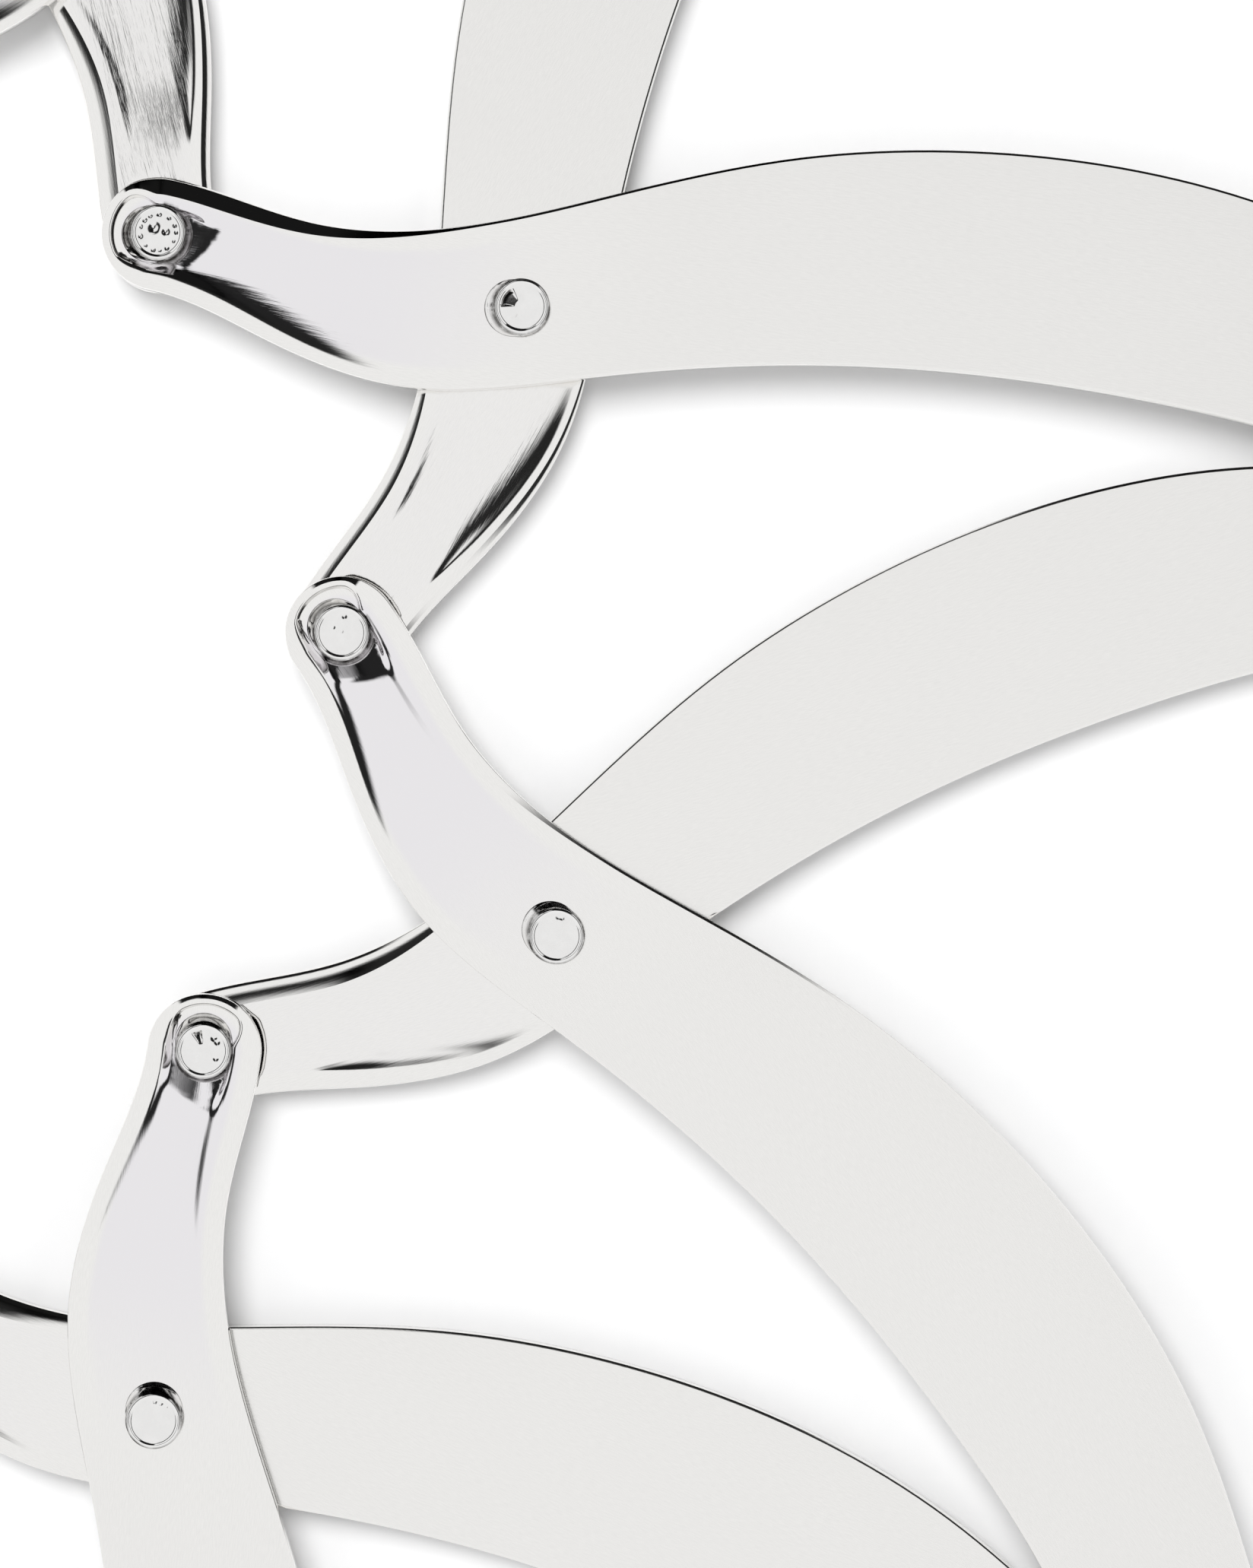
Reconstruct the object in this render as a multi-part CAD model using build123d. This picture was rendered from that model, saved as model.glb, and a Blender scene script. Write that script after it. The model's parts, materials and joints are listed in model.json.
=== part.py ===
"""Expanding ring of curved steel blades, riveted in crossing pairs like lazy tongs.

Every blade is the same S-shaped part. The top layer leans one way round the ring and
the bottom layer leans the other way. Three pivots lie in line on each blade: an inner
eye, a crossing pivot, and an outer eye. Because the outer arm is longer than the inner
arm, the chain curls into a ring as it opens and straightens as it folds.

+Z is up, and z = 0 is the table that the lower rivet heads stand on. The pieces are laid
out about the ring's centre and then moved, so that the origin is the middle of the
bottom of the whole object's box.
"""
import math
import os

from build123d import *

# Chain (millimetres and degrees)
PAIRS = 8
INNER_ARM = 27.0            # inner eye to crossing pivot
OUTER_ARM = 89.1            # crossing pivot to outer eye
CROSSING_ANGLE = 72.64      # between the two blades of a pair
FIRST_PAIR_BEARING = 153.43  # direction from the ring's centre to the first crossing pivot

# Blade
BLADE_THICKNESS = 1.6
EYE_RADIUS = 4.14
DISH_DEPTH = 0.7            # hollow round the inner eye
DISH_FLAT = 3.0             # the dish's floor is level this far past the eye's centre
DISH_LENGTH = 20.0          # and then runs out to the blade's face
DISH_RIM = 1.2              # width of the raised rim round the dish

# Rivets and washers
SHANK_RADIUS = 1.25
HEAD_RADIUS = 2.35
HEAD_HEIGHT = 0.9
HEAD_CHAMFER = 0.3
RUNNING_CLEARANCE = 0.05
WASHER_RADIUS = 2.4
LAYER_GAP = 0.4

# Heights
BOTTOM_FACE = HEAD_HEIGHT
BOTTOM_TOP = BOTTOM_FACE + BLADE_THICKNESS
UPPER_FACE = BOTTOM_TOP + LAYER_GAP
UPPER_TOP = UPPER_FACE + BLADE_THICKNESS
OVERALL_HEIGHT = UPPER_TOP + HEAD_HEIGHT

# Ring, worked out from the chain
BLADE_LENGTH = INNER_ARM + OUTER_ARM
ARM_RATIO = (OUTER_ARM - INNER_ARM) / BLADE_LENGTH
HALF_CROSSING = math.radians(CROSSING_ANGLE / 2)
HALF_PITCH = math.atan(ARM_RATIO * math.tan(HALF_CROSSING))
PITCH = 2 * math.degrees(HALF_PITCH)
INNER_RADIUS = INNER_ARM * math.sin(HALF_CROSSING) / math.sin(HALF_PITCH)

# Blade outline: inner eye at (0, 0), outer eye at (BLADE_LENGTH, 0)
BACK_EDGE = [
    (11.0, 3.1),
    (20.0, 4.45),
    (31.8, 9.4),
    (44.2, 14.7),
    (56.0, 17.7),
    (68.5, 18.9),
    (82.8, 17.6),
    (93.3, 14.6),
]
BELLY_EDGE = [
    (9.2, -6.0),
    (19.4, -7.35),
    (33.1, -3.87),
    (44.2, -0.72),
    (55.2, 1.35),
    (73.5, 2.6),
    (91.1, 1.0),
    (105.1, -3.1),
]
BACK_END_SLOPE = 34.0       # how steeply the back comes down on to the outer eye

# Dish outline, a rim's width inside the blade's
DISH_BACK = [(11.0, 1.9), (DISH_LENGTH, 3.0)]
DISH_BELLY = [(9.2, -4.75), (DISH_LENGTH, -6.1)]


def polar(radius, bearing):
    """Point at a distance and direction from the ring's centre."""
    turn = math.radians(bearing)
    return (radius * math.cos(turn), radius * math.sin(turn))


def pair_bearing(pair):
    """Direction to a pair's crossing pivot. Pairs count clockwise from 0."""
    return FIRST_PAIR_BEARING - pair * PITCH


def inner_eye(place):
    """Centre of an inner eye. Place 0 is the first free end."""
    return polar(INNER_RADIUS, pair_bearing(place) + PITCH / 2)


def top_heading(pair):
    """Direction in which a top blade runs, from its inner eye to its outer eye."""
    return pair_bearing(pair) - CROSSING_ANGLE / 2


def bottom_heading(pair):
    """Direction in which a bottom blade runs."""
    return pair_bearing(pair) + CROSSING_ANGLE / 2


def along(start, heading, distance):
    """Point reached from start."""
    step = polar(distance, heading)
    return (start[0] + step[0], start[1] + step[1])


def crossing_pivot(pair):
    """Centre of a pair's crossing pivot."""
    return along(inner_eye(pair), top_heading(pair), INNER_ARM)


def outer_eye(place):
    """Centre of an outer eye. Place 0 is the first pair's bottom blade's free end."""
    if place == 0:
        return along(inner_eye(1), bottom_heading(0), BLADE_LENGTH)
    return along(inner_eye(place - 1), top_heading(place - 1), BLADE_LENGTH)


def blade_face():
    """Flat outline of a blade: two arcs joined by two smooth edges."""
    slope = math.radians(BACK_END_SLOPE)
    back_end = (BLADE_LENGTH + EYE_RADIUS * math.sin(slope), EYE_RADIUS * math.cos(slope))
    nose = (BLADE_LENGTH + EYE_RADIUS, 0)
    with BuildSketch() as sketch:
        with BuildLine():
            Spline(
                (0, EYE_RADIUS),
                *BACK_EDGE,
                back_end,
                tangents=((1, 0), (math.cos(slope), -math.sin(slope))),
            )
            ThreePointArc(back_end, nose, (BLADE_LENGTH, -EYE_RADIUS))
            Spline(
                (BLADE_LENGTH, -EYE_RADIUS),
                *reversed(BELLY_EDGE),
                (0, -EYE_RADIUS),
                tangents=((-1, 0), (-1, 0)),
            )
            ThreePointArc((0, -EYE_RADIUS), (-EYE_RADIUS, 0), (0, EYE_RADIUS))
        make_face()
    return sketch.sketch


def dish():
    """Hollow in a blade's upper face round its inner eye, running out along the blade."""
    bowl = EYE_RADIUS - DISH_RIM
    outline = Spline((0, bowl), *DISH_BACK, tangents=((1, 0), (1, 0.2)))
    outline += Line(DISH_BACK[-1], DISH_BELLY[-1])
    outline += Spline((0, -bowl), *DISH_BELLY, tangents=((1, 0), (1, 0)))
    outline += ThreePointArc((0, -bowl), (-bowl, 0), (0, bowl))
    floor = BLADE_THICKNESS - DISH_DEPTH
    above = BLADE_THICKNESS + DISH_DEPTH
    profile = [
        (-EYE_RADIUS, floor),
        (DISH_FLAT, floor),
        (DISH_LENGTH, BLADE_THICKNESS),
        (DISH_LENGTH, above),
        (-EYE_RADIUS, above),
    ]
    wedge = Plane.XZ * make_face(Polyline(*profile, close=True))
    return extrude(wedge, amount=DISH_LENGTH, both=True) & extrude(make_face(outline), amount=above)


def blade(inner_hole, crossing_hole, outer_hole):
    """One blade lying on z = 0, with its inner eye at the origin."""
    body = extrude(blade_face(), amount=BLADE_THICKNESS) - dish()
    for place, radius in ((0, inner_hole), (INNER_ARM, crossing_hole), (BLADE_LENGTH, outer_hole)):
        body -= Pos(place, 0, 0) * Cylinder(radius, 4 * BLADE_THICKNESS)
    return body.solid()


def turned(profile):
    """Solid of revolution about Z from (radius, height) points."""
    return revolve(Plane.XZ * make_face(Polyline(*profile, close=True)), Axis.Z).solid()


def head_profile(seat, crown):
    """Rim points of a rivet head, from its seat on the blade to its chamfered crown."""
    inward = HEAD_CHAMFER if crown > seat else -HEAD_CHAMFER
    return [
        (HEAD_RADIUS, seat),
        (HEAD_RADIUS, crown - inward),
        (HEAD_RADIUS - HEAD_CHAMFER, crown),
        (0, crown),
    ]


def rivet(foot, lower_seat, upper_seat, crown):
    """Rivet with a head at each end."""
    lower = list(reversed(head_profile(lower_seat, foot)))
    waist = [(SHANK_RADIUS, lower_seat), (SHANK_RADIUS, upper_seat)]
    return turned(lower + waist + head_profile(upper_seat, crown))


def half_rivet(tip, seat, crown):
    """Half of an outer rivet: one head, and a shank that ends at tip."""
    return turned([(0, tip), (SHANK_RADIUS, tip), (SHANK_RADIUS, seat)] + head_profile(seat, crown))


def washer(bottom):
    """Ring that keeps the layers apart round a rivet."""
    top = UPPER_FACE - RUNNING_CLEARANCE
    bore = SHANK_RADIUS + RUNNING_CLEARANCE
    return turned([(bore, bottom), (WASHER_RADIUS, bottom), (WASHER_RADIUS, top), (bore, top)])


def lay(solid, place, heading=0.0, height=0.0):
    """Set a solid down in the ring."""
    return Pos(place[0], place[1], height) * Rot(0, 0, heading) * solid


def blades():
    """All the blades, by node name."""
    loose = SHANK_RADIUS + RUNNING_CLEARANCE
    tight = SHANK_RADIUS
    top = blade(tight, tight, tight)
    bottom = blade(loose, loose, tight)
    end_bottom = blade(tight, loose, tight)
    nodes = {}
    for pair in range(PAIRS):
        lower = end_bottom if pair == PAIRS - 1 else bottom
        number = pair + 1
        nodes[f"blade_top_{number}"] = lay(top, inner_eye(pair), top_heading(pair), UPPER_FACE)
        nodes[f"blade_bottom_{number}"] = lay(
            lower, inner_eye(pair + 1), bottom_heading(pair), BOTTOM_FACE
        )
    return nodes


def rivets():
    """All the rivets, by node name."""
    running_bottom = BOTTOM_FACE - RUNNING_CLEARANCE
    dish_top = UPPER_TOP - DISH_DEPTH
    mid = rivet(0, running_bottom, UPPER_TOP, OVERALL_HEIGHT)
    inner = rivet(0, running_bottom, dish_top, dish_top + HEAD_HEIGHT)
    outer_head = half_rivet(UPPER_FACE, UPPER_TOP, OVERALL_HEIGHT)
    outer_foot = half_rivet(UPPER_FACE - RUNNING_CLEARANCE, BOTTOM_FACE, 0)
    nodes = {}
    for pair in range(PAIRS):
        nodes[f"crossing_rivet_{pair + 1}"] = lay(mid, crossing_pivot(pair))
    for place in range(1, PAIRS):
        nodes[f"inner_rivet_{place}"] = lay(inner, inner_eye(place))
        nodes[f"outer_rivet_head_{place}"] = lay(outer_head, outer_eye(place))
        nodes[f"outer_rivet_foot_{place}"] = lay(outer_foot, outer_eye(place))
    return nodes


def end_rivets():
    """Rivets in the four free eyes at the ends of the chain, each through one blade."""
    under_top = UPPER_FACE - HEAD_HEIGHT
    top_dish = UPPER_TOP - DISH_DEPTH
    bottom_dish = BOTTOM_TOP - DISH_DEPTH
    first_inner = rivet(under_top, UPPER_FACE, top_dish, top_dish + HEAD_HEIGHT)
    last_inner = rivet(0, BOTTOM_FACE, bottom_dish, bottom_dish + HEAD_HEIGHT)
    first_outer = rivet(0, BOTTOM_FACE, BOTTOM_TOP, BOTTOM_TOP + HEAD_HEIGHT)
    last_outer = rivet(under_top, UPPER_FACE, UPPER_TOP, OVERALL_HEIGHT)
    return {
        "end_rivet_inner_first": lay(first_inner, inner_eye(0)),
        "end_rivet_inner_last": lay(last_inner, inner_eye(PAIRS)),
        "end_rivet_outer_first": lay(first_outer, outer_eye(0)),
        "end_rivet_outer_last": lay(last_outer, outer_eye(PAIRS)),
    }


def washers():
    """Lists of the washers between the layers, one for each bottom blade that carries them."""
    flat = washer(BOTTOM_TOP)
    tall = washer(BOTTOM_TOP - DISH_DEPTH)
    nodes = {}
    for pair in range(PAIRS):
        group = [lay(flat, crossing_pivot(pair))]
        if pair + 1 < PAIRS:
            group.append(lay(tall, inner_eye(pair + 1)))
        if pair > 0:
            group.append(lay(flat, outer_eye(pair)))
        nodes[f"washers_{pair + 1}"] = group
    return nodes


def model():
    """Every node, moved so that the box's bottom centre is the origin, and that move."""
    nodes = {name: [solid] for name, solid in {**blades(), **rivets(), **end_rivets()}.items()}
    nodes.update(washers())
    box = Compound([solid for group in nodes.values() for solid in group]).bounding_box()
    shift = (-(box.min.X + box.max.X) / 2, -(box.min.Y + box.max.Y) / 2)
    moved = {name: [lay(solid, shift) for solid in group] for name, group in nodes.items()}
    return moved, shift


if __name__ == "__main__":
    os.makedirs("parts", exist_ok=True)
    pieces, _ = model()
    for name, group in pieces.items():
        export_step(group[0] if len(group) == 1 else Compound(group), f"parts/{name}.step")
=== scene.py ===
import json
import math
import random

import bmesh
import bpy
import numpy as np
from mathutils import Matrix, Vector
from mathutils.geometry import delaunay_2d_cdt


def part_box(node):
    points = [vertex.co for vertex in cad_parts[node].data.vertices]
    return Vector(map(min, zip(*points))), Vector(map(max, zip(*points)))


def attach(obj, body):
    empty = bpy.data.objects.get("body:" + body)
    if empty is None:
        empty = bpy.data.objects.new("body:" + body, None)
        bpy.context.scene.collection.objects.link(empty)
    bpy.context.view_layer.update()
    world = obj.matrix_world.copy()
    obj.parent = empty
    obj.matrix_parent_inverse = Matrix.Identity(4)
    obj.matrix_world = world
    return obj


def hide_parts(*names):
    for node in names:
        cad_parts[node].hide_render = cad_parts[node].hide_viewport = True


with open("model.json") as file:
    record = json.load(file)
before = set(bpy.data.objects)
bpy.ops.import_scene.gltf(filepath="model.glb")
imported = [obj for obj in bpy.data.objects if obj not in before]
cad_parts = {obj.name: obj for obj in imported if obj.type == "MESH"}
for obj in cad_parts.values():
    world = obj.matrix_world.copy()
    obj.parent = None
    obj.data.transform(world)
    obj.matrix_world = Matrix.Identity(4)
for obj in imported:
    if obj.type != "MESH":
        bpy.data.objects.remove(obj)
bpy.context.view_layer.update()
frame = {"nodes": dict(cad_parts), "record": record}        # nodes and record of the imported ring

# Lengths in this script are millimetres until they reach a mesh or an object
MM = 0.001
PAIRS = 8

# Blade outline, as cut: inner eye at (0, 0), outer eye at (BLADE_LENGTH, 0)
EYE_RADIUS = 4.14
BACK_EDGE = [
    (11.0, 3.1),
    (20.0, 4.45),
    (31.8, 9.4),
    (44.2, 14.7),
    (56.0, 17.7),
    (68.5, 18.9),
    (82.8, 17.6),
    (93.3, 14.6),
]
BELLY_EDGE = [
    (9.2, -6.0),
    (19.4, -7.35),
    (33.1, -3.87),
    (44.2, -0.72),
    (55.2, 1.35),
    (73.5, 2.6),
    (91.1, 1.0),
    (105.1, -3.1),
]
BACK_END_SLOPE = math.radians(34.0)

# Blade section
HOLE_RADIUS = 1.3
UNDER_BEVEL = 0.22          # bevel round the underside
EDGE_BREAK = (0.02, 0.05)   # width and height of the broken corner under the rim's shoulder

# Mesh fineness
SPLINE_STEPS = 40           # from each point of an edge to the next
TAIL_POINTS = 38            # round the inner eye
NOSE_POINTS = 22            # round the outer eye
HOLE_POINTS = 40
FINE_STEP = 0.4             # spacing along the edges near the inner eye
COARSE_STEP = 1.3
FINE_RUN = (20.0, 36.0)     # where the spacing widens
CROSS_SPACES = 14           # between the points of each line across the blade's face
WALL_STEPS = 9              # in the wall between the rim and the dish's floor
CLEAR_OF_RIM = 0.14         # no point inside the face is closer to its rim

# Radii of the rings of face points round the inner eye's seat and round the other holes
ROUND_SEAT = (1.7, 2.0, 2.1, 2.2, 2.35, 2.5, 2.7, 2.95, 3.25, 3.6, 4.0, 4.45, 4.95)
ROUND_HOLE = (1.75, 2.2)
CLEAR_OF_SEAT = 5.2         # the lines across keep this far from the inner eye's centre
CLEAR_OF_HOLE = 2.45

# Dish round the inner eye: a level seat for the rivet, then a floor that is deepest along
# the belly and runs out to the blade's face. Top dishes are deep, bottom ones long. A run is
# measured along the blade from the eye's centre: where it starts, is full, fades and ends.
SEAT_DEPTH = 0.7
SEAT_RADIUS = 2.1
SEAT_SLOPE = {"top": 0.25, "bottom": 0.31}      # how steeply the floor climbs away from the seat
SEAT_TURN = 1.4             # the climb comes in over this far past the eye's centre
SEAT_BLEND = 0.001          # mm squared, rounds the line where the climb meets the dish's floor
BELLY_DEPTH = {"top": 0.46, "bottom": 0.42}
BACK_SHARE = 0.06           # depth along the back edge over depth along the belly
FLOOR_SIDE = 2.5            # the floor falls from back to belly this far each side of the middle
DISH_RUN = {"top": (-20.0, -10.0, 6.0, 24.5), "bottom": (5.0, 12.0, 14.0, 32.0)}
WALL_RUN = {"top": (-1.0, 7.0, 15.0, 28.0), "bottom": (6.0, 13.0, 22.0, 33.0)}
WALL_WIDTH = {"top": 2.8, "bottom": 2.5}
NARROW_WALL = 0.85          # width of the belly wall before and past its run
BACK_WALL = (0.5, 1.1)      # width of the wall under the back edge, at the eye and past it
BACK_WALL_RUN = (1.2, 4.6, 16.0, 30.0)
EYE_WALL = 0.3
DISH_SHARE = {("top", 5): 0.68, ("top", 6): 0.58}       # of blades ground less, in depth and wall
EYE_END = (-3.4, -0.8)      # between these the rim changes from the eye's to the side's
BELLY_EYE_END = (-3.5, -2.3)        # and between these the belly's wall does

# The rim: a level crest, then a roll over its inner brink, given as shares of the roll's width
# and of the floor's depth
CREST_WIDTH = {"side": 0.4, "eye": 0.22, "far": 0.15}
ROLL_WIDTH = {"side": 0.35, "eye": 0.15}
ROLL = ((0.35, 0.02), (0.7, 0.07), (1.0, 0.14))

# Tilt of the rim's outer shoulder in equal steps from the blade's edge to its crest, in degrees
SHOULDER_TILTS = {
    "top": [36, 34, 33, 33, 32, 31, 30, 28],
    "bottom": [38, 25, 24, 22, 18, 17, 16, 14],
}
# Its width on the back edge, belly edge and round the inner eye, and beyond the dish
SHOULDER_WIDTHS = {
    "top": (1.35, 0.6, 0.34, 0.22),
    "bottom": (1.6, 0.6, 0.5, 0.22),
}
SHOULDER_FADE = {"top": (3.0, 24.0), "bottom": (10.0, 28.0)}
NARROW_SHOULDERS = {("bottom", 4): 0.65}    # share of the back edge's width on other blades

# Finish: where the mirror polish gives way to satin, how strongly a blade's dish shows its
# grinding marks, and how dark the shade painted in the well under its inner brink is, by pair. The
# tinge and the marks come in over some millimetres from the outline.
POLISH_END = (8.0, 38.0)
EDGE_POLISH = 0.85
TINGE_IN = (0.9, 1.9)
GRINDING_IN = (1.3, 2.3)
GRINDING_END = (18.0, 32.0)
GRINDING = {
    "top": {4: 0.6, 5: 0.12, 6: 0.12},
    "bottom": {3: 1.4, 4: 0.7, 5: 0.2, 6: 0.35},
}
USUAL_GRINDING = 0.3
# Painted shade in the colour: the shadow in the well round the inner eye, at its end away from the blade, and a
# contact shadow ring round the head's foot on the blade's side
WELL_SHADE = {4: 0.95, 5: 0.5, 6: 0.3}
USUAL_WELL_SHADE = 0.4
WELL_SHADE_TURN = (140, 160, 205, 235)       # degrees round the inner eye
WELL_SHADE_DOWN = (0.12, 0.3, SEAT_DEPTH - 0.16, SEAT_DEPTH)     # under the blade's face
FOOT_SHADE_RING = (1.8, 2.0, 2.1, 2.36)      # radii of the painted contact shadow ring round a head's foot

# Rivets
HEAD_RADIUS = 2.07          # of the bright rim on an upper head
HEAD_BASE = 2.09
UNDER_HEAD = 2.35
UNDER_ROUNDING = 0.3
RUNNING_CLEARANCE = 0.05    # over the lower heads of rivets that turn in the bottom blades
SHANK_RADIUS = 1.25
RIVET_SEGMENTS = 96
LEAN = 0.65                 # a set head's base lies this far inward of its crown
LEAN_TURN = math.radians(12.0)
UPRIGHT = 0.15              # height of the crown's rim, which doesn't lean
CROWN_HOLLOW = 1.5          # marks are struck inside this radius
FLAT_START = 0.5            # a struck flat slopes down from this radius outward
DOT_RING = 1.32             # radius of a ring of struck dots
DOT_DEPTH = 0.07

# Setting marks on the heads: flats struck toward the rim as (bearing, half width, slope) in
# degrees and rise over run, dents as (x, y, size, depth), and how many dots round the rim
HEAD_MARKS = {
    "crossing_rivet_4": ([(148, 27, 0.24)], [(-0.5, -0.6, 0.24, 0.03)], 0),
    "crossing_rivet_5": ([], [(0.1, 1.4, 0.2, 0.05), (0.4, 1.3, 0.16, 0.05)], 0),
    "crossing_rivet_6": (
        [],
        [(0.1, 1.4, 0.2, 0.06), (0.5, 1.25, 0.2, 0.05), (0.9, 1.0, 0.14, 0.04)],
        0,
    ),
    "inner_rivet_3": ([], [(-0.33, 0.4, 0.42, 0.14), (0.55, 0.08, 0.28, 0.1)], 13),
    "inner_rivet_4": (
        [],
        [(0.0, 0.1, 0.2, 0.03), (0.2, 1.2, 0.2, 0.05), (-0.6, 0.4, 0.16, 0.03)],
        0,
    ),
    "inner_rivet_5": (
        [(108, 11, 0.3)],
        [(1.0, 0.6, 0.2, 0.07), (0.75, 0.9, 0.22, 0.08), (0.9, -0.6, 0.18, 0.07)],
        0,
    ),
}

# Colours and light
# Colour of the painted shade: contact shadows at the heads and the shadow in the blades' wells
PAINTED_SHADE = (0.06, 0.056, 0.052, 1)
LILAC = (0.885, 0.867, 0.892, 1)
TENT_LIGHT = 0.9
FLOOR_HALF = 3.0            # metres
KEY_SIZE = 0.6              # metres
KEY_POWER = 6.0             # watts
KEY_PLACE = (0.9, 118, 64)  # metres, bearing and elevation from the middle of the view

# Dark cards in the studio's white tent: bearing, half width, low and high elevation and softness
# in degrees, and how dark
DARK_CARDS = [
    (27.0, 66.0, 50.0, 70.0, 4.0, 0.98),
    (105.0, 18.0, 50.0, 61.0, 4.0, 0.98),
    (160.0, 45.0, 50.0, 70.0, 4.0, 0.98),
    (78.0, 24.0, 3.0, 54.0, 3.0, 0.99),
    (108.0, 16.0, 3.0, 34.0, 3.0, 0.99),
    (85.0, 48.0, -6.0, 11.0, 4.0, 0.99),
]


def smooth(value, low, high):
    """0 below low, 1 above high, and a smooth step between. Takes arrays too."""
    part = np.clip((value - low) / (high - low), 0.0, 1.0)
    return part * part * (3 - 2 * part)


def band(value, start, full, fading, end):
    """0 before start and past end, 1 from full to fading, and smooth steps between."""
    return smooth(value, start, full) * (1 - smooth(value, fading, end))


def mix(a, b, share):
    return a + (b - a) * share


# ---------------------------------------------------------------- places from the frame

def middle(node):
    """Centre of a CAD node in plan, in millimetres."""
    low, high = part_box(node)
    return np.array([(low[0] + high[0]) / 2, (low[1] + high[1]) / 2]) / MM


def levels(node):
    """Lowest and highest z of a CAD node, in millimetres."""
    low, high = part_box(node)
    return low[2] / MM, high[2] / MM


def blade_rivets(layer, pair):
    """Nodes of the rivets in a blade's inner, crossing and outer holes."""
    if layer == "top":
        inner = "end_rivet_inner_first" if pair == 1 else f"inner_rivet_{pair - 1}"
        outer = "end_rivet_outer_last" if pair == PAIRS else f"outer_rivet_head_{pair}"
    else:
        inner = "end_rivet_inner_last" if pair == PAIRS else f"inner_rivet_{pair}"
        outer = "end_rivet_outer_first" if pair == 1 else f"outer_rivet_foot_{pair - 1}"
    return inner, f"crossing_rivet_{pair}", outer


EYE, CROSSING, FAR_EYE = (middle(node) for node in blade_rivets("top", 5))
INNER_ARM = float(np.linalg.norm(CROSSING - EYE))
BLADE_LENGTH = float(np.linalg.norm(FAR_EYE - EYE))
BLADE_LOW, BLADE_HIGH = levels("blade_top_5")
THICKNESS = BLADE_HIGH - BLADE_LOW
HEAD_HEIGHT = levels("blade_bottom_5")[0]       # the bottom blades lie on the lower heads


# ---------------------------------------------------------------- blade outline

def clamped_spline(points, start, end):
    """Smooth curve through points with set end directions, as a function of arc share."""
    knots = np.array(points, float)
    gaps = np.linalg.norm(np.diff(knots, axis=0), axis=1)
    count = len(knots)
    system = np.eye(count)
    wanted = np.zeros_like(knots)
    wanted[0], wanted[-1] = start, end
    for i in range(1, count - 1):
        before, after = gaps[i - 1], gaps[i]
        system[i, i - 1] = after
        system[i, i] = 2 * (before + after)
        system[i, i + 1] = before
        rise = (knots[i] - knots[i - 1]) * after / before
        rise += (knots[i + 1] - knots[i]) * before / after
        wanted[i] = 3 * rise
    slopes = np.linalg.solve(system, wanted)
    fine = []
    for i, gap in enumerate(gaps):
        for s in np.linspace(0, 1, SPLINE_STEPS, endpoint=False):
            a = 2 * s**3 - 3 * s**2 + 1
            b = s**3 - 2 * s**2 + s
            c = -2 * s**3 + 3 * s**2
            d = s**3 - s**2
            ends = a * knots[i] + c * knots[i + 1]
            fine.append(ends + gap * (b * slopes[i] + d * slopes[i + 1]))
    fine.append(knots[-1])
    fine = np.array(fine)
    run = np.r_[0, np.cumsum(np.linalg.norm(np.diff(fine, axis=0), axis=1))]

    def at(shares):
        where = np.asarray(shares) * run[-1]
        return np.stack([np.interp(where, run, fine[:, k]) for k in (0, 1)], axis=1)

    return at


def edge_shares():
    """Where the stations stand along both edges: close near the inner eye, then wider."""
    stations = [0.0]
    while stations[-1] < BLADE_LENGTH:
        near = smooth(stations[-1], *FINE_RUN)
        stations.append(stations[-1] + mix(FINE_STEP, COARSE_STEP, float(near)))
    return np.array(stations) / stations[-1]


def arc(centre, start, end, count):
    """Points on an eye's rim, without its two ends."""
    turns = np.linspace(start, end, count + 2)[1:-1]
    return np.stack([centre + EYE_RADIUS * np.cos(turns), EYE_RADIUS * np.sin(turns)], axis=1)


def blade_outline():
    """Clockwise outline, each station's share of belly (0 back, 1 belly), and the edge count."""
    slope = BACK_END_SLOPE
    back_end = (BLADE_LENGTH + EYE_RADIUS * math.sin(slope), EYE_RADIUS * math.cos(slope))
    back = clamped_spline(
        [(0, EYE_RADIUS), *BACK_EDGE, back_end], (1, 0), (math.cos(slope), -math.sin(slope))
    )
    belly = clamped_spline(
        [(0, -EYE_RADIUS), *BELLY_EDGE, (BLADE_LENGTH, -EYE_RADIUS)], (1, 0), (1, 0)
    )
    shares = edge_shares()
    nose = arc(BLADE_LENGTH, math.pi / 2 - slope, -math.pi / 2, NOSE_POINTS)
    tail = arc(0, -math.pi / 2, -3 * math.pi / 2, TAIL_POINTS)
    points = np.vstack([back(shares), nose, belly(shares)[::-1], tail])
    count = len(shares)
    side = np.concatenate(
        [
            np.zeros(count),
            smooth(np.linspace(0, 1, len(nose)), 0, 1),
            np.ones(count),
            1 - smooth(np.linspace(0, 1, len(tail)), 0.0, 1.0),
        ]
    )
    return points, side, count


def inward_normals(points):
    """Unit normals that point into a clockwise outline."""
    step = np.roll(points, -1, axis=0) - np.roll(points, 1, axis=0)
    step /= np.linalg.norm(step, axis=1)[:, None]
    return np.stack([step[:, 1], -step[:, 0]], axis=1)


# ---------------------------------------------------------------- blade relief

def dish_depth(layer, pair, x, y):
    """How far the dish's floor lies under the blade's face."""
    across = mix(BACK_SHARE, 1.0, smooth(-y, -FLOOR_SIDE, FLOOR_SIDE))
    along = band(x, *DISH_RUN[layer])
    floor = BELLY_DEPTH[layer] * DISH_SHARE.get((layer, pair), 1.0) * across * along
    past_seat = np.maximum(np.hypot(x, y) - SEAT_RADIUS, 0.0) * np.clip(x / SEAT_TURN, 0, 1)
    seat = SEAT_DEPTH - SEAT_SLOPE[layer] * past_seat
    deeper = (floor + seat + np.sqrt((floor - seat) ** 2 + SEAT_BLEND)) / 2
    return np.minimum(deeper, SEAT_DEPTH)


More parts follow.
